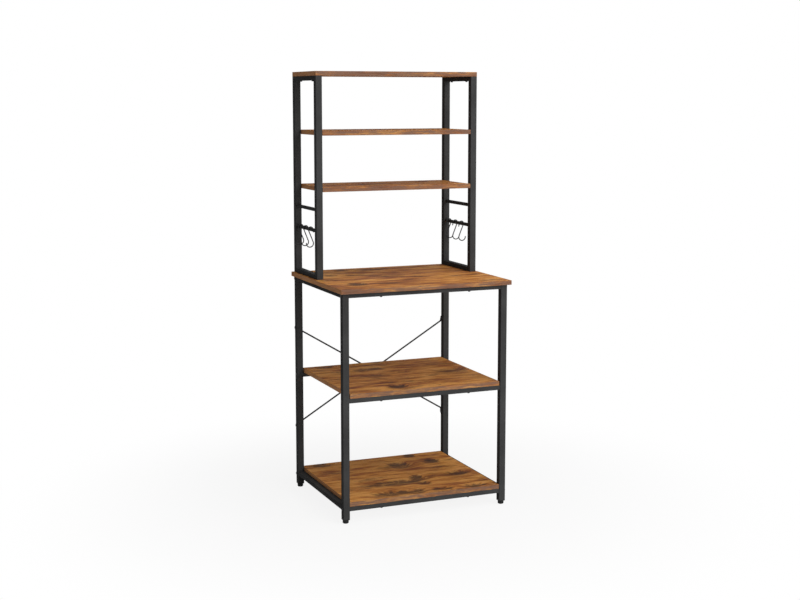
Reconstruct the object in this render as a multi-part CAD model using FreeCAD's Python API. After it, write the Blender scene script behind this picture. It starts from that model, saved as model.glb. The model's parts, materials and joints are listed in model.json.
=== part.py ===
import FreeCAD, Part
import math
import os

os.makedirs("parts", exist_ok=True)
Vec = FreeCAD.Vector
X_AXIS = Vec(1, 0, 0)
Y_AXIS = Vec(0, 1, 0)
Z_AXIS = Vec(0, 0, 1)

# Kitchen shelving unit: a low stand with a worktop, and a shallow hutch on top of it.
# Millimetres, X to the right, Y to the back, Z up, origin on the floor under the middle of the worktop.

# Boards
worktop_width = 600.0
worktop_depth = 500.0
board_thickness = 15.0
board_edge_radius = 0.8
side_overhang = 9.0
front_overhang = 15.0
rear_overhang = 5.0
hutch_depth = 240.0
front_setback = 2.0
bottom_shelf_gap = 0.5
middle_shelf_gap = 3.0
hutch_shelf_gap = 0.5

# Clear heights between the boards, from the floor up
rail_floor_gap = 40.0
side_rail_lift = 3.0
bottom_bay = 325.0
middle_bay = 310.0
hutch_low_bay = 290.0
hutch_middle_bay = 170.0
hutch_top_bay = 180.0

# Steel tube
leg_tube = 22.0
rail_height = 15.0
rail_depth = 15.0
tube_wall = 1.2
tube_corner_radius = 1.5
plug_corner_radius = 1.0

# Hook bars and hooks
bar_diameter = 12.0
lower_bar_rise = 160.0
bar_spacing = 70.0
hook_wire = 3.5
hook_running_gap = 0.3
hook_bowl_radius = 12.5
hook_drop = 48.0
hook_pitch = 51.0
hook_row_shift = 25.0
hook_tail_length = 13.0
hook_tail_flare = 15.0
hook_lip_angle = 8.0
hook_end_rounding = 1.0

# Back brace
brace_diameter = 5.5
brace_gap = 0.3
brace_shelf_gap = 0.45
brace_rear_offset = 2.0
brace_plate = 2.5
brace_eye_radius = 7.0
brace_bolt_inset = 7.0
brace_top_drop = 166.0
brace_bottom_rise = 151.0
brace_end_offset = 12.0

# Bolts, screws and nuts
bolt_diameter = 6.0
bolt_head_diameter = 11.0
bolt_head_height = 2.4
bolt_head_rounding = 1.4
bolt_socket = 4.0
bolt_socket_depth = 1.8
bolt_end_reach = 0.5
screw_diameter = 4.0
screw_head_diameter = 8.0
screw_head_height = 3.0
screw_head_rounding = 1.2
screw_bite = 11.0
screw_slot_width = 1.2
screw_slot_depth = 1.2
screw_inset = 113.0
top_screw_spread = 120.0
base_bolt_spread = 140.0
hole_clearance = 0.5
thread_clearance = 0.2
fit_gap = 0.1
rail_nut_length = 10.0
base_nut_diameter = 10.0
base_nut_height = 7.0
shelf_insert_diameter = 9.0
shelf_insert_length = 13.0
access_hole = 12.0
cap_rim = 1.5
cap_thickness = 1.0
cap_rounding = 0.7
cap_plug_length = 4.0

# Levelling feet
leg_floor_gap = 14.0
insert_flange = 2.0
insert_depth = 18.0
pad_diameter = 20.0
pad_rim_radius = 4.0
pad_gap = 0.3
stud_diameter = 6.0
stud_length = 28.0
stud_head_diameter = 10.0
stud_head_height = 2.0
stud_head_floor = 4.0

# Levels worked out from the clear heights
bottom_shelf_low = rail_floor_gap + rail_height
middle_rail_low = bottom_shelf_low + board_thickness + bottom_bay
middle_shelf_low = middle_rail_low + rail_height
worktop_rail_low = middle_shelf_low + board_thickness + middle_bay
worktop_low = worktop_rail_low + rail_height
worktop_top = worktop_low + board_thickness
lower_shelf_low = worktop_top + hutch_low_bay
upper_shelf_low = lower_shelf_low + board_thickness + hutch_middle_bay
top_shelf_low = upper_shelf_low + board_thickness + hutch_top_bay
lower_bar_level = worktop_top + lower_bar_rise
upper_bar_level = lower_bar_level + bar_spacing

# Plan positions
half_frame = worktop_width / 2 - side_overhang
half_inner = half_frame - leg_tube
frame_front = -worktop_depth / 2 + front_overhang
frame_rear = worktop_depth / 2 - rear_overhang
shelf_front = frame_front + front_setback
hutch_front = frame_rear - hutch_depth
hutch_middle = hutch_front + hutch_depth / 2
tube_line = half_frame - leg_tube / 2
screw_line = half_inner - screw_inset
brace_rear_line = frame_rear + brace_rear_offset
brace_front_line = brace_rear_line - brace_diameter - brace_gap
middle_rear = brace_front_line - brace_diameter / 2 - brace_shelf_gap
brace_bolt_line = frame_rear - brace_bolt_inset
brace_bolt_high = worktop_rail_low - brace_top_drop
brace_bolt_low = bottom_shelf_low + board_thickness + brace_bottom_rise
top_screw_lines = [hutch_middle + k * top_screw_spread / 2 for k in (-1, 1)]
base_bolt_lines = [hutch_middle + k * base_bolt_spread / 2 for k in (-1, 1)]
upright_lines = [hutch_front + leg_tube / 2, frame_rear - leg_tube / 2]
hutch_shelf_lows = {"lower": lower_shelf_low, "upper": upper_shelf_low}
SIDES = {"left": -1, "right": 1}

# How near an edge must lie to a line or a point to be picked
pick_distance = 0.4

# Front and rear rails: the near face in Y and the lower face in Z of each
front_rear_rails = {
    "worktop_front_rail": (shelf_front, worktop_rail_low),
    "worktop_rear_rail": (frame_rear - rail_depth, worktop_rail_low),
    "middle_front_rail": (shelf_front, middle_rail_low),
    "middle_rear_rail": (middle_rear - rail_depth, middle_rail_low),
    "bottom_front_rail": (shelf_front, rail_floor_gap),
    "bottom_rear_rail": (frame_rear - rail_depth, rail_floor_gap),
}

nodes = {}


# Shared shapes
def block(low, high):
    low, high = Vec(*low), Vec(*high)
    size = high - low
    return Part.makeBox(size.x, size.y, size.z, low)


def edges_along(shape, axis):
    found = []
    for edge in shape.Edges:
        direction = edge.Vertexes[-1].Point - edge.Vertexes[0].Point
        if direction.Length > 0 and direction.cross(axis).Length < pick_distance:
            found.append(edge)
    return found


def edges_at(shape, point):
    return [edge for edge in shape.Edges if (edge.CenterOfMass - point).Length < pick_distance]


def rounded_bar(low, high, axis, radius):
    solid = block(low, high)
    return solid.makeFillet(radius, edges_along(solid, axis))


def square_tube(low, high, axis):
    low, high = Vec(*low), Vec(*high)
    wall = (Vec(1, 1, 1) - axis) * tube_wall
    outer = rounded_bar(low, high, axis, tube_corner_radius)
    inner = rounded_bar(low + wall, high - wall, axis, tube_corner_radius - tube_wall)
    return outer.cut(inner)


def board(low, high):
    solid = block(low, high)
    return solid.makeFillet(board_edge_radius, solid.Edges)


def rod(start, direction, length, diameter):
    return Part.makeCylinder(diameter / 2, length, Vec(*start), direction)


def hexagon(start, direction, length, flats):
    corner = Vec(flats / math.sqrt(3), 0, 0)
    points = [FreeCAD.Rotation(Z_AXIS, 60 * k).multVec(corner) for k in range(7)]
    prism = Part.Face(Part.makePolygon(points)).extrude(Z_AXIS * length)
    prism.Placement = FreeCAD.Placement(Vec(*start), FreeCAD.Rotation(Z_AXIS, direction))
    return prism


def bolt(seat, direction, length):
    """Socket head bolt: its head sits on the seat and its shank points along the direction."""
    seat = Vec(*seat)
    top = seat - direction * bolt_head_height
    head = rod(top, direction, bolt_head_height, bolt_head_diameter)
    head = head.makeFillet(bolt_head_rounding, edges_at(head, top))
    head = head.cut(hexagon(top, direction, bolt_socket_depth, bolt_socket))
    return head.fuse(rod(seat, direction, length, bolt_diameter)).removeSplitter()


def screw(seat, length):
    """Slotted pan head screw that points straight up from its seat."""
    seat = Vec(*seat)
    top = seat - Z_AXIS * screw_head_height
    head = rod(top, Z_AXIS, screw_head_height, screw_head_diameter)
    head = head.makeFillet(screw_head_rounding, edges_at(head, top))
    reach = Vec(screw_head_diameter, screw_slot_width / 2, 0)
    slot = block(top - reach, top + reach + Z_AXIS * screw_slot_depth)
    return head.cut(slot).fuse(rod(seat, Z_AXIS, length, screw_diameter)).removeSplitter()


def drill(solid, start, direction, length, diameter):
    return solid.cut(rod(start, direction, length, diameter))


def side_span(side, near, far):
    """Low and high X of a piece that lies between two distances from the middle."""
    return min(side * near, side * far), max(side * near, side * far)


# Legs of the stand, drilled through for the rail and brace bolts
for side_name, side in SIDES.items():
    for end_name in ("front", "rear"):
        x_low, x_high = side_span(side, half_inner, half_frame)
        y_low = frame_front if end_name == "front" else frame_rear - leg_tube
        leg = square_tube((x_low, y_low, leg_floor_gap), (x_high, y_low + leg_tube, worktop_low), Z_AXIS)
        bolt_places = [(y + rail_depth / 2, z + rail_height / 2)
                       for name, (y, z) in front_rear_rails.items() if end_name in name]
        if end_name == "rear":
            bolt_places += [(brace_bolt_line, brace_bolt_high), (brace_bolt_line, brace_bolt_low)]
        for y, z in bolt_places:
            leg = drill(leg, (x_low, y, z), X_AXIS, leg_tube, bolt_diameter + hole_clearance)
        nodes[f"{end_name}_{side_name}_leg"] = leg

# Side rails of the stand: the top pair carries the worktop and takes the hutch bolts
for side_name, side in SIDES.items():
    x_low, x_high = side_span(side, half_inner, half_frame)
    for level_name, z in (("top", worktop_rail_low), ("bottom", rail_floor_gap + side_rail_lift)):
        rail = square_tube((x_low, frame_front + leg_tube, z),
                           (x_high, frame_rear - leg_tube, z + rail_height), Y_AXIS)
        if level_name == "top":
            for y in base_bolt_lines:
                rail = drill(rail, (side * tube_line, y, z), Z_AXIS, rail_height,
                             bolt_diameter + hole_clearance)
        nodes[f"{side_name}_{level_name}_side_rail"] = rail

# Front and rear rails, their end nuts, and the bolts that hold them between the legs
rail_nuts = []
frame_bolts = []
for name, (y, z) in front_rear_rails.items():
    y_mid, z_mid = y + rail_depth / 2, z + rail_height / 2
    rail = square_tube((-half_inner, y, z), (half_inner, y + rail_depth, z + rail_height), X_AXIS)
    for x in (-screw_line, screw_line):
        rail = drill(rail, (x, y_mid, z), Z_AXIS, rail_height, screw_diameter + hole_clearance)
    nodes[name] = rail
    inset = tube_wall + fit_gap
    for side in SIDES.values():
        x_low, x_high = side_span(side, half_inner - rail_nut_length, half_inner)
        nut = rounded_bar((x_low, y + inset, z + inset),
                          (x_high, y + rail_depth - inset, z + rail_height - inset),
                          X_AXIS, plug_corner_radius)
        rail_nuts.append(drill(nut, (x_low, y_mid, z_mid), X_AXIS, rail_nut_length,
                               bolt_diameter + thread_clearance))
        frame_bolts.append(bolt((side * half_frame, y_mid, z_mid), X_AXIS * -side,
                                leg_tube + rail_nut_length))
nodes["rail_end_nuts"] = Part.makeCompound(rail_nuts)
nodes["frame_bolts"] = Part.makeCompound(frame_bolts)


# Boards of the stand, with blind screw holes over their rails
def drill_for_screws(solid, z, rail_names):
    for name in rail_names:
        y_mid = front_rear_rails[name][0] + rail_depth / 2
        for x in (-screw_line, screw_line):
            solid = drill(solid, (x, y_mid, z), Z_AXIS, screw_bite + fit_gap,
                          screw_diameter + thread_clearance)
    return solid


worktop = board((-worktop_width / 2, -worktop_depth / 2, worktop_low),
                (worktop_width / 2, worktop_depth / 2, worktop_top))
worktop = drill_for_screws(worktop, worktop_low, ("worktop_front_rail", "worktop_rear_rail"))
for side in SIDES.values():
    for y in base_bolt_lines:
        worktop = drill(worktop, (side * tube_line, y, worktop_low), Z_AXIS, board_thickness,
                        bolt_diameter + hole_clearance)
nodes["worktop"] = worktop

half_middle = half_inner - middle_shelf_gap
middle_shelf = board((-half_middle, shelf_front, middle_shelf_low),
                     (half_middle, middle_rear, middle_shelf_low + board_thickness))
nodes["middle_shelf"] = drill_for_screws(middle_shelf, middle_shelf_low,
                                         ("middle_front_rail", "middle_rear_rail"))

half_bottom = half_inner - bottom_shelf_gap
bottom_shelf = board((-half_bottom, shelf_front, bottom_shelf_low),
                     (half_bottom, frame_rear, bottom_shelf_low + board_thickness))
nodes["bottom_shelf"] = drill_for_screws(bottom_shelf, bottom_shelf_low,
                                         ("bottom_front_rail", "bottom_rear_rail"))

# Screws that come up through the rails into the boards of the stand
nodes["shelf_screws"] = Part.makeCompound([
    screw((x, y + rail_depth / 2, z), rail_height + screw_bite)
    for y, z in front_rear_rails.values() for x in (-screw_line, screw_line)])


# Back brace: two like rods with flattened ends, one turned upside down, inside the rear legs
def eye_plate(side, eye, tip, tip_radius):
    """Flat plate on a leg's inner face, from the bolt eye to where the rod leaves it (points are Y, Z)."""
    eye, tip = Vec(0, *eye), Vec(0, *tip)
    along = tip - eye
    spread = math.degrees(math.acos((brace_eye_radius - tip_radius) / along.Length))
    along.normalize()
    points = []
    for turn in (spread, -spread):
        direction = FreeCAD.Rotation(X_AXIS, turn).multVec(along)
        points.append((eye + direction * brace_eye_radius, tip + direction * tip_radius))
    (eye_a, tip_a), (eye_b, tip_b) = points
    outline = Part.Wire([
        Part.LineSegment(eye_a, tip_a).toShape(),
        Part.Arc(tip_a, tip + along * tip_radius, tip_b).toShape(),
        Part.LineSegment(tip_b, eye_b).toShape(),
        Part.Arc(eye_b, eye - along * brace_eye_radius, eye_a).toShape()])
    x_low = side_span(side, half_inner - brace_plate, half_inner)[0]
    outline.translate(X_AXIS * x_low)
    return Part.Face(outline).extrude(X_AXIS * brace_plate)


def brace_rod(y, bolt_left, bolt_right):
    """One brace: a rod that starts a little way along from each bolt, with a tapped eye at both ends."""
    slope = math.copysign(1, bolt_right - bolt_left)
    z_left = bolt_left + slope * brace_end_offset
    z_right = bolt_right - slope * brace_end_offset
    start, end = Vec(-half_inner, y, z_left), Vec(half_inner, y, z_right)
    run = end - start
    reach = run * (brace_diameter / run.Length)
    shaft = rod(start - reach, run, run.Length + 2 * reach.Length, brace_diameter)
    margin = 2 * brace_diameter
    room = block((-half_inner, y - margin, min(z_left, z_right) - margin),
                 (half_inner, y + margin, max(z_left, z_right) + margin))
    solid = shaft.common(room)
    for side, z_bolt, z_tip in ((-1, bolt_left, z_left), (1, bolt_right, z_right)):
        plate = eye_plate(side, (brace_bolt_line, z_bolt), (y, z_tip), brace_diameter / 2)
        hole = rod((side * half_inner - brace_plate, brace_bolt_line, z_bolt), X_AXIS, 2 * brace_plate,
                   bolt_diameter + thread_clearance)
        solid = solid.fuse(plate.cut(hole))
    return solid.removeSplitter()


nodes["falling_brace_rod"] = brace_rod(brace_front_line, brace_bolt_high, brace_bolt_low)
nodes["rising_brace_rod"] = brace_rod(brace_rear_line, brace_bolt_low, brace_bolt_high)

nodes["brace_bolts"] = Part.makeCompound([
    bolt((side * half_frame, brace_bolt_line, z), X_AXIS * -side, leg_tube + brace_plate + bolt_end_reach)
    for side in SIDES.values() for z in (brace_bolt_low, brace_bolt_high)])

# Side frames of the hutch: uprights, bottom and top rails and two hook bars on each side
for side_name, side in SIDES.items():
    x_low, x_high = side_span(side, half_inner, half_frame)
    inward = X_AXIS * -side
    for end_name, y_mid in zip(("front", "rear"), upright_lines):
        upright = square_tube((x_low, y_mid - leg_tube / 2, worktop_top),
                              (x_high, y_mid + leg_tube / 2, top_shelf_low), Z_AXIS)
        for shelf_low in hutch_shelf_lows.values():
            outside = Vec(side * half_frame, y_mid, shelf_low + board_thickness / 2)
            upright = drill(upright, outside, inward, leg_tube / 2, access_hole)
            upright = drill(upright, outside, inward, leg_tube, bolt_diameter + hole_clearance)
        nodes[f"hutch_{end_name}_{side_name}_upright"] = upright
    y_low, y_high = hutch_front + leg_tube, frame_rear - leg_tube
    foot_rail = square_tube((x_low, y_low, worktop_top), (x_high, y_high, worktop_top + rail_height), Y_AXIS)
    for y in base_bolt_lines:
        foot_rail = drill(foot_rail, (side * tube_line, y, worktop_top), Z_AXIS, rail_height / 2,
                          bolt_diameter + hole_clearance)
    nodes[f"hutch_{side_name}_bottom_rail"] = foot_rail
    head_rail = square_tube((x_low, y_low, top_shelf_low - rail_height),
                            (x_high, y_high, top_shelf_low), Y_AXIS)
    for y in top_screw_lines:
        head_rail = drill(head_rail, (side * tube_line, y, top_shelf_low - rail_height), Z_AXIS, rail_height,
                          screw_diameter + hole_clearance)
    nodes[f"hutch_{side_name}_top_rail"] = head_rail
    for level_name, z in (("lower", lower_bar_level), ("upper", upper_bar_level)):
        start = (side * tube_line, y_low, z)
        bar = rod(start, Y_AXIS, y_high - y_low, bar_diameter)
        bore = rod(start, Y_AXIS, y_high - y_low, bar_diameter - 2 * tube_wall)
        nodes[f"{side_name}_{level_name}_hook_bar"] = bar.cut(bore)

# Hutch boards: two shelves between the uprights and one on top of them
half_hutch_shelf = half_inner - hutch_shelf_gap
shelf_bolts = []
shelf_inserts = []
bolt_caps = []
bolt_seat = half_inner + tube_wall
shelf_bolt_length = tube_wall + hutch_shelf_gap + shelf_insert_length
for shelf_name, shelf_low in hutch_shelf_lows.items():
    z_mid = shelf_low + board_thickness / 2
    shelf = board((-half_hutch_shelf, hutch_front, shelf_low),
                  (half_hutch_shelf, frame_rear, shelf_low + board_thickness))
    for side in SIDES.values():
        inward = X_AXIS * -side
        for y in upright_lines:
            shelf_end = (side * half_hutch_shelf, y, z_mid)
            shelf = drill(shelf, shelf_end, inward, shelf_insert_length + fit_gap,
                          shelf_insert_diameter + 2 * fit_gap)
            insert = rod(shelf_end, inward, shelf_insert_length, shelf_insert_diameter)
            shelf_inserts.append(drill(insert, shelf_end, inward, shelf_insert_length,
                                       bolt_diameter + thread_clearance))
            shelf_bolts.append(bolt((side * bolt_seat, y, z_mid), inward, shelf_bolt_length))
            outside = Vec(side * half_frame, y, z_mid)
            rim = rod(outside, -inward, cap_thickness, access_hole + 2 * cap_rim)
            rim = rim.makeFillet(cap_rounding, edges_at(rim, outside - inward * cap_thickness))
            plug = rod(outside, inward, cap_plug_length, access_hole - 2 * fit_gap)
            bolt_caps.append(rim.fuse(plug).removeSplitter())
    nodes[f"hutch_{shelf_name}_shelf"] = shelf
nodes["hutch_shelf_bolts"] = Part.makeCompound(shelf_bolts)
nodes["hutch_shelf_inserts"] = Part.makeCompound(shelf_inserts)
nodes["hutch_bolt_caps"] = Part.makeCompound(bolt_caps)

top_shelf = board((-half_frame, hutch_front, top_shelf_low),
                  (half_frame, frame_rear, top_shelf_low + board_thickness))
top_screws = []
for side in SIDES.values():
    for y in top_screw_lines:
        top_shelf = drill(top_shelf, (side * tube_line, y, top_shelf_low), Z_AXIS, screw_bite + fit_gap,
                          screw_diameter + thread_clearance)
        top_screws.append(screw((side * tube_line, y, top_shelf_low - rail_height), rail_height + screw_bite))
nodes["hutch_top_shelf"] = top_shelf
nodes["top_shelf_screws"] = Part.makeCompound(top_screws)

# Bolts from under the stand's side rails, through the worktop, into nuts inside the hutch's bottom rails
base_bolts = []
base_nuts = []
for side in SIDES.values():
    for y in base_bolt_lines:
        seat = (side * tube_line, y, worktop_rail_low)
        base_bolts.append(bolt(seat, Z_AXIS, rail_height + board_thickness + tube_wall + base_nut_height))
        nut_seat = (side * tube_line, y, worktop_top + tube_wall)
        nut = rod(nut_seat, Z_AXIS, base_nut_height, base_nut_diameter)
        base_nuts.append(drill(nut, nut_seat, Z_AXIS, base_nut_height, bolt_diameter + thread_clearance))
nodes["hutch_base_bolts"] = Part.makeCompound(base_bolts)
nodes["hutch_base_nuts"] = Part.makeCompound(base_nuts)

# Levelling feet: a threaded insert in each leg, a stud that turns in it and a pad that stays on the floor
flange_low = leg_floor_gap - insert_flange
pad_height = flange_low - pad_gap
foot_inserts = []


def foot_insert(x, y):
    half_tube, half_plug = leg_tube / 2, leg_tube / 2 - tube_wall - fit_gap
    flange = rounded_bar((x - half_tube, y - half_tube, flange_low),
                         (x + half_tube, y + half_tube, leg_floor_gap), Z_AXIS, tube_corner_radius)
    plug = rounded_bar((x - half_plug, y - half_plug, leg_floor_gap),
                       (x + half_plug, y + half_plug, leg_floor_gap + insert_depth),
                       Z_AXIS, plug_corner_radius)
    return drill(flange.fuse(plug), (x, y, flange_low), Z_AXIS, insert_flange + insert_depth,
                 stud_diameter + 2 * pad_gap)


def foot_pad(x, y):
    pad = rod((x, y, 0), Z_AXIS, pad_height, pad_diameter)
    pad = pad.makeFillet(pad_rim_radius, edges_at(pad, Vec(x, y, 0)))
    socket = rod((x, y, stud_head_floor - pad_gap), Z_AXIS, stud_head_height + 2 * pad_gap,
                 stud_head_diameter + 2 * pad_gap)
    neck = rod((x, y, stud_head_floor), Z_AXIS, pad_height, stud_diameter + 2 * pad_gap)
    return pad.cut(socket.fuse(neck))


def foot_stud(x, y):
    head = rod((x, y, stud_head_floor), Z_AXIS, stud_head_height, stud_head_diameter)
    return head.fuse(rod((x, y, stud_head_floor), Z_AXIS, stud_length, stud_diameter)).removeSplitter()


for side_name, side in SIDES.items():
    for end_name, y in (("front", frame_front + leg_tube / 2), ("rear", frame_rear - leg_tube / 2)):
        foot_inserts.append(foot_insert(side * tube_line, y))
        nodes[f"{end_name}_{side_name}_foot_pad"] = foot_pad(side * tube_line, y)
        nodes[f"{end_name}_{side_name}_foot_stud"] = foot_stud(side * tube_line, y)
nodes["foot_inserts"] = Part.makeCompound(foot_inserts)

# S hooks: a short tail, a crook round the bar, a slanting stem and a bowl open to the outside of the unit
hook_crook_radius = bar_diameter / 2 + hook_running_gap + hook_wire / 2
hook_lines = [hutch_middle + hook_row_shift + k * hook_pitch for k in (-1, 0, 1)]


def on_circle(centre, radius, degrees):
    angle = math.radians(degrees)
    return centre + Vec(radius * math.cos(angle), 0, radius * math.sin(angle))


def hanging_hook():
    """Right hand hook about the bar's axis at the origin, turned so that it hangs in balance."""
    crook, bowl = Vec(0, 0, 0), Vec(0, 0, -hook_drop)
    lean = math.degrees(math.asin((hook_crook_radius + hook_bowl_radius) / hook_drop))
    crook_start = on_circle(crook, hook_crook_radius, 180 - hook_tail_flare)
    free_end = on_circle(crook_start, hook_tail_length, 270 - hook_tail_flare)
    crook_end = on_circle(crook, hook_crook_radius, -lean)
    bowl_start = on_circle(bowl, hook_bowl_radius, 180 - lean)
    lip = on_circle(bowl, hook_bowl_radius, 360 + hook_lip_angle)
    path = Part.Wire([
        Part.LineSegment(free_end, crook_start).toShape(),
        Part.Arc(crook_start, on_circle(crook, hook_crook_radius, 90), crook_end).toShape(),
        Part.LineSegment(crook_end, bowl_start).toShape(),
        Part.Arc(bowl_start, on_circle(bowl, hook_bowl_radius, 270), lip).toShape()])
    tangent = path.Edges[0].tangentAt(path.Edges[0].FirstParameter)
    section = Part.Wire(Part.makeCircle(hook_wire / 2, free_end, tangent))
    hook = path.makePipeShell([section], True, False)
    ends = edges_at(hook, free_end) + edges_at(hook, lip)
    hook = hook.makeFillet(hook_end_rounding, ends).Solids[0]
    balance = hook.CenterOfMass
    tilt = math.degrees(math.atan2(balance.x, -balance.z))
    hook.rotate(crook, Y_AXIS, tilt)
    return hook


hook_shape = hanging_hook()
for side_name, side in SIDES.items():
    turned = hook_shape.copy()
    if side < 0:
        turned.rotate(Vec(0, 0, 0), Z_AXIS, 180)
    for end_name, y in zip(("front", "middle", "rear"), hook_lines):
        hook = turned.copy()
        hook.translate(Vec(side * tube_line, y, lower_bar_level))
        nodes[f"{side_name}_{end_name}_hook"] = hook

for name, shape in nodes.items():
    shape.exportStep(f"parts/{name}.step")
print(len(nodes), "nodes,", sum(len(s.Solids) for s in nodes.values()), "solids, height",
      top_shelf_low + board_thickness)
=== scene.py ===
# %% [markdown]
# A kitchen shelving unit, dressed
#
# The unit arrives as exact solids: black steel tubes, six boards, bolts, feet and hooks, all in metres
# and all in their places. What is left is a finisher's work: a printed wood face and edge strips on the
# boards, coats on the steel, threads on the feet and weld beads in the corners. Then come a floor, lamps
# and a camera. No finish may make the unit larger.

# %% Load the solids
import json
import math

import bmesh
import bpy
from mathutils import Matrix, Vector


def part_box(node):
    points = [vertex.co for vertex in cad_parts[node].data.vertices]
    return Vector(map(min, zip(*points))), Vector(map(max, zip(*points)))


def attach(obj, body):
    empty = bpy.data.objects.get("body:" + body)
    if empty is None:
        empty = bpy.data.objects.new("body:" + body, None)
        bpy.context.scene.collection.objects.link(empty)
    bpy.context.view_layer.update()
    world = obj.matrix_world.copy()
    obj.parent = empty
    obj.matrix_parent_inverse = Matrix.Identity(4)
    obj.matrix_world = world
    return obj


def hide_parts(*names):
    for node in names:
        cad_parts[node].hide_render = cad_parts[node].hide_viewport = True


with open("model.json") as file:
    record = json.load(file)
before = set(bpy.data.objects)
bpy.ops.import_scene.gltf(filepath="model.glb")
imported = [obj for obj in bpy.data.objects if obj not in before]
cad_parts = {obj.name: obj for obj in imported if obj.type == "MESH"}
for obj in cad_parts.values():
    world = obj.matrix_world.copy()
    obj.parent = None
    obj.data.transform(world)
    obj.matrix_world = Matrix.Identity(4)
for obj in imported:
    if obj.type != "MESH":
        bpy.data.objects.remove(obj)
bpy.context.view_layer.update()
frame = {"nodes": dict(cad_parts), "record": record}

MM = 0.001

# %% [markdown]
# Talking to the shader editor
#
# Every finish below is a small node tree. It could be wired by hand in the shader editor, but then it
# would have to be wired again for each of six boards. Written out in full, a node takes four or five
# lines of code, so a few helpers do the typing: one puts a node down with its settings and wires, one
# does sums, and one starts a fresh finish.

# %% Nodes, sums and a fresh finish
def put(tree, kind, wires=None, **settings):
    """Puts down one node; each wire is a socket to link from, or a plain value."""
    made = tree.nodes.new(kind)
    for key, value in settings.items():
        setattr(made, key, value)
    for key, value in (wires or {}).items():
        if isinstance(value, bpy.types.NodeSocket):
            tree.links.new(value, made.inputs[key])
        else:
            made.inputs[key].default_value = value
    return made


def sums(tree, operation, *values):
    """One Math node, and its result."""
    return put(tree, "ShaderNodeMath", dict(enumerate(values)), operation=operation).outputs[0]


def fresh_finish(name):
    """A new finish, its node tree and the shader in it."""
    finish = bpy.data.materials.new(name)
    finish.use_nodes = True
    return finish, finish.node_tree, finish.node_tree.nodes["Principled BSDF"]


print("nodes, sums and fresh finishes: ready")

# %% [markdown]
# Noise, ranges, mixes and bumps
#
# Grain, dimples and clouds all start as noise. Noise becomes a finish in three moves: stretch it in
# space, pick the range of its values that matters, and let that mix two colours or tilt the surface. A
# painted image could do the same, but noise has no seams, needs no file, and stays sharp close up. All of
# it is drawn in the unit's own metres, so a dimple is as large on a bolt as on a leg.

# %% Helpers that draw with noise
# Most of a noise lies between these two values
NOISE_LOW, NOISE_HIGH = 0.3, 0.7


def surface_place(tree):
    """The point of the surface that is being shaded, in the unit's own metres."""
    return put(tree, "ShaderNodeTexCoord").outputs["Object"]


def even(count):
    """The same number of features per metre along X, Y and Z."""
    return (count, count, count)


def speckle(tree, place, stretch, detail, roughness=0.55, offset=0.0):
    """Noise with its own stretch along each axis: stretch is features per metre along X, Y and Z."""
    shifted = put(tree, "ShaderNodeMapping",
                  {"Vector": place, "Location": (offset, offset, offset), "Scale": stretch})
    noise = put(tree, "ShaderNodeTexNoise",
                {"Vector": shifted.outputs[0], "Scale": 1.0, "Detail": detail, "Roughness": roughness})
    return noise.outputs[0]


def remap(tree, value, low, high, new_low, new_high):
    """Stretches a value from one range to another, with soft ends."""
    return put(tree, "ShaderNodeMapRange", {"Value": value, 1: low, 2: high, 3: new_low, 4: new_high},
               interpolation_type="SMOOTHSTEP").outputs[0]


def blend_colour(tree, share, first, second):
    """Mixes two colours; the share says how much of the second one shows."""
    return put(tree, "ShaderNodeMix", {0: share, 6: first, 7: second}, data_type="RGBA").outputs[2]


def add_bumps(tree, shader, height, strength, depth):
    """Tilts the surface by a height, as fine bumps of a given depth in metres."""
    bump = put(tree, "ShaderNodeBump", {"Strength": strength, "Distance": depth, "Height": height})
    tree.links.new(bump.outputs[0], shader.inputs["Normal"])


print("noise, ranges, mixes and bumps: ready")

# %% [markdown]
# The boards
#
# The boards are particle board with a printed paper face: planks that look reclaimed, in honey and
# chestnut browns, with dark knots, smoky smears, short cracks and fine pores. A picture of wood would do
# for one board, but six boards would then repeat. Here one recipe draws the print from noise that is
# stretched along the grain, and each board gets its own knots, so no two are alike. The narrow strips
# glued round a board are printed too: dark along its front and back, paler on its ends. Part of that
# paleness on the ends is painted light, which stands in for light falling on the end faces.

# %% Colours of the printed wood
STRAW = (0.675, 0.325, 0.088, 1)
HONEY = (0.475, 0.185, 0.043, 1)
CHESTNUT = (0.265, 0.090, 0.032, 1)
UMBER = (0.115, 0.043, 0.022, 1)
SMOKE = (0.036, 0.020, 0.014, 1)
EDGE_STRIP = (0.185, 0.102, 0.068, 1)
# The end strip's colour is partly its own and partly painted light on the end faces
END_STRIP_WITH_PAINTED_LIGHT = (0.52, 0.255, 0.125, 1)
print("wood colours from straw to smoke, and two for the strips")

# %% [markdown]
# Where a point lies on its board
#
# The print has to know three things about a point: how far it is from the board's middle, whether it is
# on a glued strip, and which way the grain runs there. The strips could be pieces of their own, but on
# the real board they lie flush with the face, so the finish paints them on the outermost skin of the
# solid. The strip on an end runs along that end, so there the grain is turned.

# %% Places on a board
STRIP_SKIN = 0.35 * MM


def board_places(tree, board):
    """A point's place on its board, the same along the grain, and whether it is on an end or any edge."""
    low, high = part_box(board)
    middle, half = (low + high) / 2, (high - low) / 2
    place = put(tree, "ShaderNodeMapping",
                {"Vector": surface_place(tree), "Location": -middle}).outputs[0]
    x, y, z = put(tree, "ShaderNodeSeparateXYZ", {0: place}).outputs
    on_end = sums(tree, "GREATER_THAN", sums(tree, "ABSOLUTE", x), half.x - STRIP_SKIN)
    on_front = sums(tree, "GREATER_THAN", sums(tree, "ABSOLUTE", y), half.y - STRIP_SKIN)
    on_edge = sums(tree, "MAXIMUM", on_end, on_front)
    turned = put(tree, "ShaderNodeCombineXYZ", {0: y, 1: x, 2: z}).outputs[0]
    along = put(tree, "ShaderNodeMix", {0: on_end, 4: place, 5: turned}, data_type="VECTOR").outputs[1]
    return place, along, on_end, on_edge


print("strips are the outer", STRIP_SKIN / MM, "mm of a board")

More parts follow.
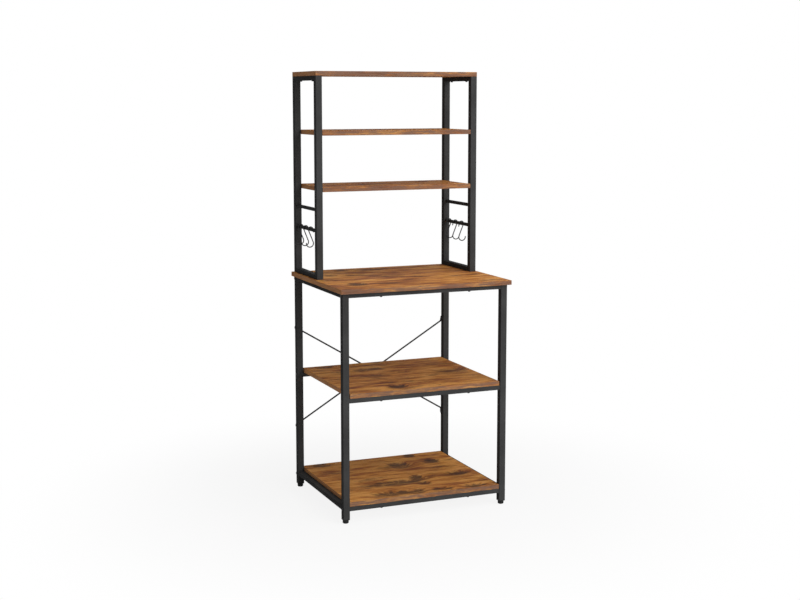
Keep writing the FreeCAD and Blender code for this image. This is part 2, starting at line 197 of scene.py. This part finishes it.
# %% [markdown]
# Layers of the print
#
# Wood has patterns of every size, from planks a hand wide down to pores as fine as a hair. One noise with
# many octaves would look like smoke, because its coarse and fine features would all be stretched alike.
# So each size of feature is a layer of its own, with its own stretch along the grain and across it.

# %% The layers
# Each row: features per metre along the grain and across it, octaves, how strong the finer octaves are,
# and a shift that keeps two layers from sharing a pattern
WOOD_LAYERS = {
    "wander": (2.6, 8.0, 2.0, 0.55, 0),
    "planks": (2.5, 15.0, 3.0, 0.55, 3),
    "blotches": (7.0, 30.0, 4.0, 0.62, 5),
    "streaks": (8.0, 80.0, 5.0, 0.70, 7),
    "fibres": (14.0, 300.0, 4.0, 0.62, 9),
    "pores": (50.0, 1200.0, 2.0, 0.55, 11),
    "ragged": (24.0, 110.0, 6.0, 0.75, 17),
    "cracks": (30.0, 210.0, 3.0, 0.65, 19),
    "smears": (6.0, 17.0, 5.0, 0.62, 23),
    "scuffs": (330.0, 9.0, 2.0, 0.55, 29),
    "mottle": (22.0, 260.0, 4.0, 0.65, 31),
}


def layer(tree, name, place, seed):
    """One layer of the print, drawn at the given places."""
    along, across, octaves, fineness, shift = WOOD_LAYERS[name]
    return speckle(tree, place, (along, across, across), octaves, fineness, seed + shift)


print(len(WOOD_LAYERS), "layers of print")

# %% [markdown]
# Knots
#
# A knot is where a branch grew out of the trunk. In the print it does two jobs: it pushes the grain
# aside, so the lines part and flow round it, and it darkens the wood. A dark spot laid over straight
# grain would look like a stain. So the push is worked out first, and the grain is drawn afterwards, at
# the places that the push has moved.

# %% One knot
# As shares of a knot's half size: full inside its heart, gone past its reach
KNOT_HEART, KNOT_REACH = 0.15, 1.6
# As a share of a knot's width
KNOT_PUSH = 0.5
# So tall, in metres, that a knot goes right through its board
RIGHT_THROUGH = 1000


def add_knot(tree, place, knot, push, dark):
    """Adds one knot's push on the grain and its darkness to those of the knots before it."""
    x, y, length, width, depth = knot
    near = put(tree, "ShaderNodeMapping",
               {"Vector": place, "Location": (x * MM, y * MM, 0),
                "Scale": (length / 2 * MM, width / 2 * MM, RIGHT_THROUGH)}, vector_type="TEXTURE")
    reach = put(tree, "ShaderNodeVectorMath", {0: near.outputs[0]}, operation="LENGTH").outputs["Value"]
    swell = remap(tree, reach, KNOT_HEART, KNOT_REACH, 1.0, 0.0)
    push = sums(tree, "MULTIPLY_ADD", swell, width * KNOT_PUSH * MM, push)
    dark = sums(tree, "MULTIPLY_ADD", swell, depth, dark)
    return push, dark


print("a knot fades out at", KNOT_REACH, "times its half size")

# %% Grain that flows round the knots
WANDER = 22 * MM


def bent_grain(tree, place, along, knots, seed):
    """The places to draw the grain at, and how dark the knots make each place."""
    push = sums(tree, "MULTIPLY_ADD", layer(tree, "wander", along, seed), WANDER, -WANDER / 2)
    dark = 0.0
    for knot in knots:
        push, dark = add_knot(tree, place, knot, push, dark)
    aside = put(tree, "ShaderNodeCombineXYZ", {1: push}).outputs[0]
    grain = put(tree, "ShaderNodeVectorMath", {0: along, 1: aside}, operation="ADD").outputs[0]
    return grain, dark


print("grain wanders up to", WANDER / 2 / MM, "mm to each side")

# %% [markdown]
# From layers to colour
#
# Four layers are added up to one tone, and a colour ramp turns that tone into wood: umber, chestnut,
# honey, straw. What lies on the wood comes after the ramp, as a mix towards one colour: smoke in the
# knots and in stray smears, umber in cracks and pores, straw where the print is scuffed. It could all go
# into the tone, but then a crack in a pale plank would only turn brown. Mixed in afterwards, dark marks
# are as dark on pale wood as on brown.

# %% Bare wood
TONE_WEIGHTS = {"planks": 1.0, "blotches": 1.9, "streaks": 1.6, "fibres": 1.15}
# About half of those weights together, which is what the layers add up to on average
TONE_MIDDLE = 2.81
WOOD_RAMP = ((0.10, UMBER), (0.32, CHESTNUT), (0.56, HONEY), (0.86, STRAW))


def bare_wood(tree, layers, warmth):
    """The wood's colour without knots, smears or cracks; more warmth makes it paler."""
    tone = warmth - TONE_MIDDLE
    for name, weight in TONE_WEIGHTS.items():
        tone = sums(tree, "MULTIPLY_ADD", layers[name], weight, tone)
    ramp = put(tree, "ShaderNodeValToRGB", {0: tone})
    stops = ramp.color_ramp.elements
    stops[0].position, stops[0].color = WOOD_RAMP[0]
    stops[1].position, stops[1].color = WOOD_RAMP[-1]
    for position, colour in WOOD_RAMP[1:-1]:
        stops.new(position).color = colour
    return ramp.outputs[0]


print("bare wood from", len(TONE_WEIGHTS), "layers and", len(WOOD_RAMP), "colours")

# %% Smoke in the knots and between them
TEAR_GAIN, TEAR_DROP = 3.4, -1.05
# Smoke starts at the first value, is full at the second, and covers no more than the third
KNOT_SMOKE_START, KNOT_SMOKE_FULL, KNOT_SMOKE_MOST = 0.06, 0.56, 0.86
SMEAR_TEAR, SMEAR_DROP = 0.6, 0.3
SMEAR_START, SMEAR_FULL, SMEAR_MOST = 0.56, 0.74, 0.8


def smoked(tree, colour, layers, dark, smear):
    """Darkens the knots, with torn rims, and adds stray smears; more smear adds more of them."""
    torn = sums(tree, "MULTIPLY_ADD", layers["ragged"], TEAR_GAIN, TEAR_DROP)
    in_knots = remap(tree, sums(tree, "MULTIPLY", dark, torn),
                     KNOT_SMOKE_START, KNOT_SMOKE_FULL, 0.0, KNOT_SMOKE_MOST)
    drift = sums(tree, "SUBTRACT", layers["smears"], SMEAR_DROP)
    stray = remap(tree, sums(tree, "MULTIPLY_ADD", layers["ragged"], SMEAR_TEAR, drift),
                  SMEAR_START - smear, SMEAR_FULL - smear, 0.0, SMEAR_MOST)
    return blend_colour(tree, sums(tree, "MAXIMUM", in_knots, stray), colour, SMOKE)


print("smoke covers at most", KNOT_SMOKE_MOST, "of a knot")

# %% Marks and strips
# Each row: where the mark starts in its layer and where it is full, how much it covers, and its colour
MARKS = {
    "cracks": (0.60, 0.72, 0.85, UMBER),
    "pores": (0.56, 0.70, 0.45, UMBER),
    "scuffs": (0.60, 0.80, 0.2, STRAW),
}
# A strip is most worn at the first value of its mottle, whole at the second, and never under the third
STRIP_WORN, STRIP_WHOLE, STRIP_LEAST = 0.34, 0.60, 0.35


def marked(tree, colour, layers):
    """Adds cracks, pores and scuffs."""
    for name, (start, full, most, mark) in MARKS.items():
        colour = blend_colour(tree, remap(tree, layers[name], start, full, 0.0, most), colour, mark)
    return colour


def edged(tree, colour, mottle, on_end, on_edge):
    """Lays the strips over the edges, thinner where they are worn."""
    wear = remap(tree, mottle, STRIP_WORN, STRIP_WHOLE, STRIP_LEAST, 1.0)
    strip = sums(tree, "MULTIPLY", on_edge, wear)
    # On the ends the strip colour carries painted light as well as the strip's own colour
    return blend_colour(tree, strip, colour, blend_colour(tree, on_end, EDGE_STRIP, END_STRIP_WITH_PAINTED_LIGHT))


print("marks:", ", ".join(MARKS))

# %% The printed wood
GRAIN_LAYERS = ("planks", "blotches", "streaks", "fibres", "pores", "ragged", "cracks")
BOARD_LAYERS = ("smears", "scuffs")
# A board's name gives its seed, so each board has a pattern of its own, the same on every run
SEED_STEP = 0.37
DARK_ROUGHNESS, PALE_ROUGHNESS = 0.66, 0.54
PORE_SINK = -0.6
GRAIN_STRENGTH, GRAIN_DEPTH = 0.25, 0.3 * MM
PAPER_SHINE = 0.02


def printed_wood(name, board, knots, warmth, smear):
    """The finish of one board, laid out from the middle of that board."""
    seed = sum(ord(letter) for letter in board) * SEED_STEP
    finish, tree, shader = fresh_finish(name)
    place, along, on_end, on_edge = board_places(tree, board)
    grain, dark = bent_grain(tree, place, along, knots, seed)
    layers = {title: layer(tree, title, grain, seed) for title in GRAIN_LAYERS}
    layers.update({title: layer(tree, title, place, seed) for title in BOARD_LAYERS})

    colour = bare_wood(tree, layers, warmth)
    colour = smoked(tree, colour, layers, dark, smear)
    colour = marked(tree, colour, layers)
    colour = edged(tree, colour, layer(tree, "mottle", along, seed), on_end, on_edge)
    tree.links.new(colour, shader.inputs["Base Color"])

    matt = remap(tree, layers["streaks"], NOISE_LOW, NOISE_HIGH, DARK_ROUGHNESS, PALE_ROUGHNESS)
    tree.links.new(matt, shader.inputs["Roughness"])
    height = sums(tree, "MULTIPLY_ADD", layers["pores"], PORE_SINK, layers["fibres"])
    add_bumps(tree, shader, height, GRAIN_STRENGTH, GRAIN_DEPTH)
    shader.inputs["Specular IOR Level"].default_value = PAPER_SHINE
    return finish


print("the print's grain is", GRAIN_DEPTH / MM, "mm deep")

# %% [markdown]
# Where the knots lie
#
# Each row is one knot: its place from the board's middle, its length along the grain and its width across
# it, all in millimetres, and how dark it is. Scattering them at random would be quicker, but a print has
# quiet and busy parts, so the knots are listed one by one. The bottom shelf is the busiest board and the
# worktop the calmest of the stand. A board's warmth makes its wood paler, and its smear adds smoke.

# %% The six boards
board_knots = {
    "bottom_shelf": [(49, 108, 90, 84, 1.0), (177, 118, 66, 54, 1.1), (-55, -92, 250, 64, 0.8),
                     (46, -52, 50, 56, 0.9), (42, -132, 50, 44, 0.8), (190, -58, 110, 60, 0.8),
                     (-114, -205, 130, 62, 0.9), (-24, -208, 76, 56, 0.9), (70, -212, 80, 36, 1.0),
                     (188, -218, 90, 46, 1.0), (-205, 212, 90, 54, 0.8), (130, 214, 50, 46, 0.9)],
    "middle_shelf": [(-37, 116, 62, 44, 1.1), (-99, 106, 66, 36, 0.8), (-80, -190, 72, 62, 1.0),
                     (195, -14, 150, 90, 0.6), (-84, 6, 120, 26, 0.7), (-193, 208, 80, 40, 0.8),
                     (20, 26, 90, 30, 0.6)],
    "worktop": [(-206, -146, 70, 60, 1.1), (-134, 208, 60, 44, 0.9), (-31, 192, 110, 46, 0.9),
                (-125, 66, 120, 36, 0.7), (-215, 90, 50, 60, 0.6), (235, -214, 90, 26, 0.6)],
    "hutch_lower_shelf": [(-60, -20, 120, 40, 0.9), (150, 50, 80, 34, 0.8), (-190, 60, 70, 30, 0.8)],
    "hutch_upper_shelf": [(40, 10, 100, 36, 0.9), (-170, -40, 80, 30, 0.8), (200, 70, 60, 30, 0.8)],
    "hutch_top_shelf": [(-120, 30, 110, 40, 0.9), (90, -50, 90, 30, 0.8), (220, 40, 60, 40, 0.9)],
}
# The middle and bottom shelves are paler partly as painted light, which makes up for the shade the boards
# above cast on them
board_tone_and_painted_light = {"bottom_shelf": 0.65, "middle_shelf": 0.63, "worktop": 0.56}
board_smear = {"bottom_shelf": 0.02, "middle_shelf": 0.03}
USUAL_WARMTH, USUAL_SMEAR = 0.5, 0.0
for board, knots in board_knots.items():
    warmth = board_tone_and_painted_light.get(board, USUAL_WARMTH)
    smear = board_smear.get(board, USUAL_SMEAR)
    finish = printed_wood(board + "_print", board, knots, warmth, smear)
    frame["nodes"][board].material_slots[0].material = finish
print(len(board_knots), "boards printed,", sum(map(len, board_knots.values())), "knots")

# %% [markdown]
# Black steel
#
# The tubes are powder coated: a matt black skin, very slightly dimpled like orange peel, that looks dark
# grey where it faces the lamps. One flat black would swallow the round corners. So the tone and the
# roughness drift a little, fine pale specks in the colour stand in for glints as painted highlights, and
# shallow dimples break up the highlights. The mirror part of the shader is kept low, because a white
# room turns a shiny black coat grey. The hooks, the bolts and the plastic feet are black too, so they use
# the same recipe with other numbers.

# %% A black skin
DRIFT_COUNT = 9.0
# Painted glints: how fine and how pale they are, where they start and are full, how much they cover
PAINTED_GLINT_FINER, PAINTED_GLINT_PALER = 2.5, 2.5
PAINTED_GLINT_START, PAINTED_GLINT_FULL, PAINTED_GLINT_MOST, PAINTED_GLINT_SHIFT = 0.62, 0.78, 0.3, 5.0
PEEL_LOW, PEEL_HIGH = 0.25, 0.75
ROUGHNESS_SPREAD = 0.07
DIMPLE_STRENGTH = 0.3


def grey(tone):
    """A grey with no tint."""
    return (tone, tone, tone, 1)


def black_skin(name, dark, light, roughness, dimples, dimple_depth, shine):
    """A black coat or plastic: two close tones, dimples of a given count per metre, and some shine."""
    finish, tree, shader = fresh_finish(name)
    where = surface_place(tree)
    drift = speckle(tree, where, even(DRIFT_COUNT), detail=3.0)
    peel = speckle(tree, where, even(dimples), detail=2.0)
    painted_glint = speckle(tree, where, even(dimples * PAINTED_GLINT_FINER), detail=1.0, offset=PAINTED_GLINT_SHIFT)
    colour = blend_colour(tree, remap(tree, drift, NOISE_LOW, NOISE_HIGH, 0.0, 1.0), dark, light)
    # Painted highlight: pale specks mixed into the base colour, where the coat would catch the light
    paler = tuple(PAINTED_GLINT_PALER * part for part in light[:3]) + (1,)
    share = remap(tree, painted_glint, PAINTED_GLINT_START, PAINTED_GLINT_FULL, 0.0, PAINTED_GLINT_MOST)
    tree.links.new(blend_colour(tree, share, colour, paler), shader.inputs["Base Color"])
    matt = remap(tree, peel, PEEL_LOW, PEEL_HIGH,
                 roughness - ROUGHNESS_SPREAD, roughness + ROUGHNESS_SPREAD)
    tree.links.new(matt, shader.inputs["Roughness"])
    add_bumps(tree, shader, peel, DIMPLE_STRENGTH, dimple_depth)
    shader.inputs["Specular IOR Level"].default_value = shine
    return finish


print("black skins have flecks", PAINTED_GLINT_FINER, "times as fine as their dimples")

# %% Four black skins
powder_coat = black_skin("powder_coat", dark=grey(0.038), light=grey(0.050), roughness=0.60,
                         dimples=750.0, dimple_depth=0.12 * MM, shine=0.004)
hook_coat = black_skin("hook_coat", dark=(0.020, 0.020, 0.021, 1), light=(0.028, 0.028, 0.029, 1),
                       roughness=0.45, dimples=900.0, dimple_depth=0.05 * MM, shine=0.12)
black_oxide = black_skin("black_oxide", dark=(0.016, 0.016, 0.017, 1), light=(0.026, 0.025, 0.024, 1),
                         roughness=0.45, dimples=1400.0, dimple_depth=0.04 * MM, shine=0.15)
moulded_plastic = black_skin("moulded_plastic", dark=grey(0.013), light=grey(0.020), roughness=0.56,
                             dimples=1800.0, dimple_depth=0.06 * MM, shine=0.08)
print("black skins:", powder_coat.name, hook_coat.name, black_oxide.name, moulded_plastic.name)

# %% [markdown]
# Zinc plate
#
# The studs under the feet and the fasteners inside the frame are zinc plated. A grey paint would look
# dull beside the black coats, because plated steel is bare metal: what it shows is mostly its
# surroundings. So the shader is all metal, in two close greys, one cool and one warm. The fine marks that
# turning leaves round a stud come from noise that is squeezed along the stud's axis.

# %% Zinc
COOL_ZINC = (0.46, 0.47, 0.50, 1)
WARM_ZINC = (0.60, 0.58, 0.54, 1)
CLOUD_COUNT = 60.0
MARKS_ACROSS, MARKS_ALONG = 300.0, 5000.0
SMOOTH_ZINC, ROUGH_ZINC = 0.26, 0.42
MARK_STRENGTH, MARK_DEPTH = 0.2, 0.03 * MM


def zinc_plate(name):
    """Plated steel: pale metal with a faint cloudiness and fine turning marks."""
    finish, tree, shader = fresh_finish(name)
    where = surface_place(tree)
    cloud = speckle(tree, where, even(CLOUD_COUNT), detail=4.0)
    marks = speckle(tree, where, (MARKS_ACROSS, MARKS_ACROSS, MARKS_ALONG), detail=2.0)
    tree.links.new(blend_colour(tree, cloud, COOL_ZINC, WARM_ZINC), shader.inputs["Base Color"])
    matt = remap(tree, marks, NOISE_LOW, NOISE_HIGH, SMOOTH_ZINC, ROUGH_ZINC)
    tree.links.new(matt, shader.inputs["Roughness"])
    add_bumps(tree, shader, marks, MARK_STRENGTH, MARK_DEPTH)
    shader.inputs["Metallic"].default_value = 1.0
    return finish


zinc = zinc_plate("zinc_plate")
print("plated steel:", zinc.name)

# %% [markdown]
# Who wears what
#
# Every node of the unit came with the name of its slot, which says what the piece is made of. The
# finishes could be given to some fifty nodes one by one. A short list from slot to finish does it in one
# loop, and it can't forget a bolt. The boards are left out, because each of them has its print already.

# %% Hand the finishes out
finish_of_slot = {"black_tube": powder_coat, "hook_wire": hook_coat, "black_fasteners": black_oxide,
                  "black_plastic": moulded_plastic, "zinc_steel": zinc}
slot_of = {row["node"]: row["material_slot"] for row in frame["record"]["subparts"]}
for name, solid in frame["nodes"].items():
    if slot_of[name] in finish_of_slot:
        solid.material_slots[0].material = finish_of_slot[slot_of[name]]
print({slot: list(slot_of.values()).count(slot) for slot in finish_of_slot})

# %% [markdown]
# From a bmesh to a piece of the unit
#
# Threads and weld beads are too fine for the solids, so they are made here. Each is modelled as a bmesh,
# which is a mesh on the workbench: quick to cut and spin, but not yet in the scene. This helper takes it
# off the bench, gives it the finish of its slot, and makes it ride on a body, so that it moves when that
# body does. The piece keeps its place in its mesh, so its finish lines up with that of its neighbours.

# %% A piece that rides on a body
def piece_on(body, name, slot, shape):
    """Turns a finished bmesh into an object that rides on a body and wears that slot's finish."""
    mesh = bpy.data.meshes.new(name)
    shape.to_mesh(mesh)
    shape.free()
    piece = bpy.data.objects.new(name, mesh)
    bpy.context.scene.collection.objects.link(piece)
    mesh.materials.append(finish_of_slot[slot])
    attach(piece, body)
    return piece


# %% [markdown]
# Threads on the feet
#
# Each foot turns on a plated stud, and when the foot is screwed out, ten millimetres of its thread show.
# A striped texture would shimmer there and leave the outline straight, so the thread is real: a small
# three-cornered ridge is spun round the stud, and every step of the spin also lifts it a little. That
# draws a right-hand helix that climbs one millimetre a turn.

# %% The stud's plain parts
ROUND_SEGMENTS = 40
# The head is as high as the solid's, and the crest stays just inside the solid's radius of 3 mm
HEAD_HEIGHT = 2.0 * MM
HEAD_BEVEL = 0.4 * MM
THREAD_CREST, THREAD_ROOT = 2.99 * MM, 2.42 * MM
SAME_LEVEL = 1e-6


def add_cylinder(shape, axis, bottom, top, radius):
    """A closed cylinder round the stud's axis, from one level to another."""
    middle = axis + Vector((0, 0, (bottom + top) / 2))
    bmesh.ops.create_cone(shape, cap_ends=True, segments=ROUND_SEGMENTS, radius1=radius, radius2=radius,
                          depth=top - bottom, matrix=Matrix.Translation(middle))


def stud_blank(axis, low, high):
    """A bevelled head and a core, before the thread is cut."""
    shape = bmesh.new()
    add_cylinder(shape, axis, low.z, low.z + HEAD_HEIGHT, (high.x - low.x) / 2)
    rims = [edge for edge in shape.edges
            if abs(edge.verts[0].co.z - edge.verts[1].co.z) < SAME_LEVEL]
    bmesh.ops.bevel(shape, geom=rims, offset=HEAD_BEVEL, affect="EDGES", segments=2, profile=0.5,
                    material=-1)
    add_cylinder(shape, axis, low.z + HEAD_HEIGHT / 2, high.z, THREAD_ROOT)
    return shape


print("stud heads are", HEAD_HEIGHT / MM, "mm high")

# %% The thread
THREAD_PITCH = 1.0 * MM
RIDGE_HALF = 0.44 * THREAD_PITCH
RIDGE_SINK = 0.1 * MM
STEPS_A_TURN = 16


def threaded_stud(node):
    """A stud with a helical ridge, in the place of the plain solid, and its number of turns."""
    low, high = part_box(node)
    axis = Vector(((low.x + high.x) / 2, (low.y + high.y) / 2, 0))
    shape = stud_blank(axis, low, high)
    turns = int((high.z - low.z - HEAD_HEIGHT) / THREAD_PITCH) - 1
    start = low.z + HEAD_HEIGHT + THREAD_PITCH / 2
    foot = THREAD_ROOT - RIDGE_SINK
    outline = ((foot, 0, start - RIDGE_HALF), (THREAD_CREST, 0, start), (foot, 0, start + RIDGE_HALF))
    corners = [shape.verts.new(axis + Vector(spot)) for spot in outline]
    ridge = shape.faces.new(corners)
    bmesh.ops.spin(shape, geom=[ridge, *ridge.edges, *corners], cent=axis, axis=(0, 0, 1),
                   dvec=(0, 0, THREAD_PITCH / STEPS_A_TURN), angle=2 * math.pi * turns,
                   steps=STEPS_A_TURN * turns)
    bmesh.ops.recalc_face_normals(shape, faces=shape.faces)
    return shape, turns


studs = [node for node in frame["nodes"] if node.endswith("_foot_stud")]
for node in studs:
    shape, turns = threaded_stud(node)
    stud = piece_on(node, node.replace("_foot_stud", "_threaded_stud"), "zinc_steel", shape)
    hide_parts(node)
print(len(studs), "studs with", turns, "turns of thread")

# %% [markdown]
# Weld beads
#
# Where a side rail meets a leg, the real frame is welded, and the coat runs over a small rippled bead in
# the corner. The bead could be a plain fillet, but a weld sets drop by drop, so each bead is a row of
# small overlapping drops. The hook bars get the same in a ring where they run into the uprights. A drop
# has few faces, because there are hundreds of them.

# %% Rows and rings of drops
BEAD_RADIUS = 1.5 * MM
ROW_STEP, RING_STEP = 1.2 * BEAD_RADIUS, 1.3 * BEAD_RADIUS


def drop(shape, spot):
    """One drop of weld."""
    bmesh.ops.create_uvsphere(shape, u_segments=8, v_segments=6, radius=BEAD_RADIUS,
                              matrix=Matrix.Translation(spot))


def corner_beads(shape, rail, faces):
    """Beads across both ends of a side rail, along those of its faces that stay open."""
    low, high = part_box(rail)
    level = {"under": low.z, "over": high.z}
    width = high.x - low.x - 2 * BEAD_RADIUS
    count = round(width / ROW_STEP)
    for y in (low.y, high.y):
        for face in faces:
            for step in range(count + 1):
                drop(shape, Vector((low.x + BEAD_RADIUS + width * step / count, y, level[face])))


def ring_beads(shape, bar):
    """A ring of drops round both ends of a hook bar."""
    low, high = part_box(bar)
    middle, radius = (low + high) / 2, (high.x - low.x) / 2
    count = round(2 * math.pi * radius / RING_STEP)
    for y in (low.y, high.y):
        for step in range(count):
            angle = 2 * math.pi * step / count
            drop(shape, Vector((middle.x + radius * math.cos(angle), y,
                                middle.z + radius * math.sin(angle))))


print("drops of weld are", 2 * BEAD_RADIUS / MM, "mm across")

# %% Beads on the four side frames
for side in ("left", "right"):
    beads = bmesh.new()
    corner_beads(beads, f"{side}_bottom_side_rail", ("under", "over"))
    corner_beads(beads, f"{side}_top_side_rail", ("under",))
    piece_on("unit", f"{side}_stand_welds", "black_tube", beads)
    beads = bmesh.new()
    corner_beads(beads, f"hutch_{side}_bottom_rail", ("over",))
    corner_beads(beads, f"hutch_{side}_top_rail", ("under",))
    for level in ("lower", "upper"):
        ring_beads(beads, f"{side}_{level}_hook_bar")
    piece_on("unit", f"{side}_hutch_welds", "black_tube", beads)
print("weld beads on four side frames")

# %% [markdown]
# The floor
#
# The unit stands on a plain pale floor that runs into a white background. Strong lamps could make a floor
# that white, but they would bleach the boards too. Instead the floor is an ordinary pale surface, which
# keeps the unit's shadow, and for the eye alone it is mixed with plain white, more so further out. Light
# Path tells which rays are the eye's, so the white adds no light to the unit.

# %% A pale sheet
FLOOR_HALF = 30.0
FLOOR_GAP = 0.5 * MM
floor_mesh = bpy.data.meshes.new("floor")
shape = bmesh.new()
bmesh.ops.create_grid(shape, x_segments=2, y_segments=2, size=FLOOR_HALF)
bmesh.ops.translate(shape, vec=(0, 0, -FLOOR_GAP), verts=shape.verts)
shape.to_mesh(floor_mesh)
shape.free()
floor = bpy.data.objects.new("floor", floor_mesh)
bpy.context.scene.collection.objects.link(floor)
print("floor laid,", 2 * FLOOR_HALF, "m square")


# %% The floor's finish
def seen_directly(tree):
    """1 for rays that show the background to the eye: straight, mirrored, or through glass."""
    path = put(tree, "ShaderNodeLightPath")
    glossy = sums(tree, "MAXIMUM", path.outputs["Is Camera Ray"], path.outputs["Is Glossy Ray"])
    return sums(tree, "MAXIMUM", glossy, path.outputs["Is Transmission Ray"])


WHITE = grey(1)
# Metres from the unit's middle, and how white the floor is within the nearer one
NEAR, FAR = 0.4, 1.4
NEAR_WHITE = 0.88
FLOOR_ROUGHNESS = 0.9
floor_finish, tree, shader = fresh_finish("pale_floor")
shader.inputs["Base Color"].default_value = grey(0.70)
shader.inputs["Roughness"].default_value = FLOOR_ROUGHNESS
shader.inputs["Specular IOR Level"].default_value = 0.0
glow = put(tree, "ShaderNodeEmission", {"Color": WHITE, "Strength": 1.0})
distance = put(tree, "ShaderNodeVectorMath", {0: surface_place(tree)}, operation="LENGTH").outputs["Value"]
share = sums(tree, "MULTIPLY", remap(tree, distance, NEAR, FAR, NEAR_WHITE, 1.0), seen_directly(tree))
whole = put(tree, "ShaderNodeMixShader", {0: share, 1: shader.outputs[0], 2: glow.outputs[0]})
tree.links.new(whole.outputs[0], tree.nodes["Material Output"].inputs["Surface"])
floor_mesh.materials.append(floor_finish)
print("floor is plain white from", FAR, "m out")

# %% [markdown]
# Light from all round
#
# In a studio the walls send soft light back from every side. A world of one strength would either leave
# the background grey or flood the unit. So it has two: the eye, mirrors and glass see plain white, and
# what lights the unit is much weaker.

# %% The white room
AMBIENT = 0.22
world = bpy.data.worlds.new("studio")
world.use_nodes = True
bpy.context.scene.world = world
tree = world.node_tree
strength = remap(tree, seen_directly(tree), 0.0, 1.0, AMBIENT, 1.0)
back = tree.nodes["Background"]
back.inputs["Color"].default_value = WHITE
tree.links.new(strength, back.inputs["Strength"])
print("white room at strength", AMBIENT)

# %% [markdown]
# Lamps
#
# Three large square lamps do the rest. The strongest stands high at the front right and shapes the unit.
# One in front stands low, so that it reaches under the boards and on to the fronts of the tubes. A weak
# one overhead lifts the upper faces. Small lamps would draw hard shadows, and a lamp behind the unit
# would mirror in the boards and veil their print, so there is none.

# %% Three soft boxes
def soft_box(name, place, target, size, power):
    """A square studio lamp that faces a point; size in metres, power in watts."""
    lamp = bpy.data.lights.new(name, "AREA")
    lamp.shape = "SQUARE"
    lamp.size = size
    lamp.energy = power
    holder = bpy.data.objects.new(name, lamp)
    holder.location = place
    holder.rotation_euler = (Vector(target) - Vector(place)).to_track_quat("-Z", "Y").to_euler()
    bpy.context.scene.collection.objects.link(holder)


soft_box("front_lamp", place=(1.6, -3.2, 2.6), target=(0, 0, 0.7), size=2.4, power=94.0)
soft_box("low_lamp", place=(0.4, -3.8, 0.8), target=(0, 0, 0.6), size=2.0, power=55.0)
soft_box("top_lamp", place=(0.2, -0.6, 3.6), target=(0, 0, 0.7), size=2.0, power=36.0)
bpy.context.scene.view_settings.view_transform = "Standard"
print("three lamps hung")

# %% [markdown]
# Camera
#
# The unit is seen from its front left, from a little below its top, through a long lens that keeps the
# far legs nearly as tall as the near ones. The camera is turned to the right and tipped down a little. A
# lens shift could keep every upright plumb, but a large one would push the unit out of the frame when it
# is seen from other sides, so the shift here is small.

# %% Camera
eye = Vector((-1.7655, -4.2210, 1.3648))
turn, tip = 0.3970, 0.1305
view_axis = Vector((math.sin(turn) * math.cos(tip), math.cos(turn) * math.cos(tip), -math.sin(tip)))
camera_data = bpy.data.cameras.new("camera")
camera_data.sensor_width = 36.0
camera_data.lens = 61.277
camera_data.shift_y = -0.03
camera = bpy.data.objects.new("camera", camera_data)
camera.location = eye
camera.rotation_euler = view_axis.to_track_quat("-Z", "Y").to_euler()
bpy.context.scene.collection.objects.link(camera)
bpy.context.scene.camera = camera
print("camera", tuple(round(c, 3) for c in eye))

# %% [markdown]
# A finish may add a thread or a bead, but the unit has to keep its size.

# The end

# %% The end
print("scene ready")
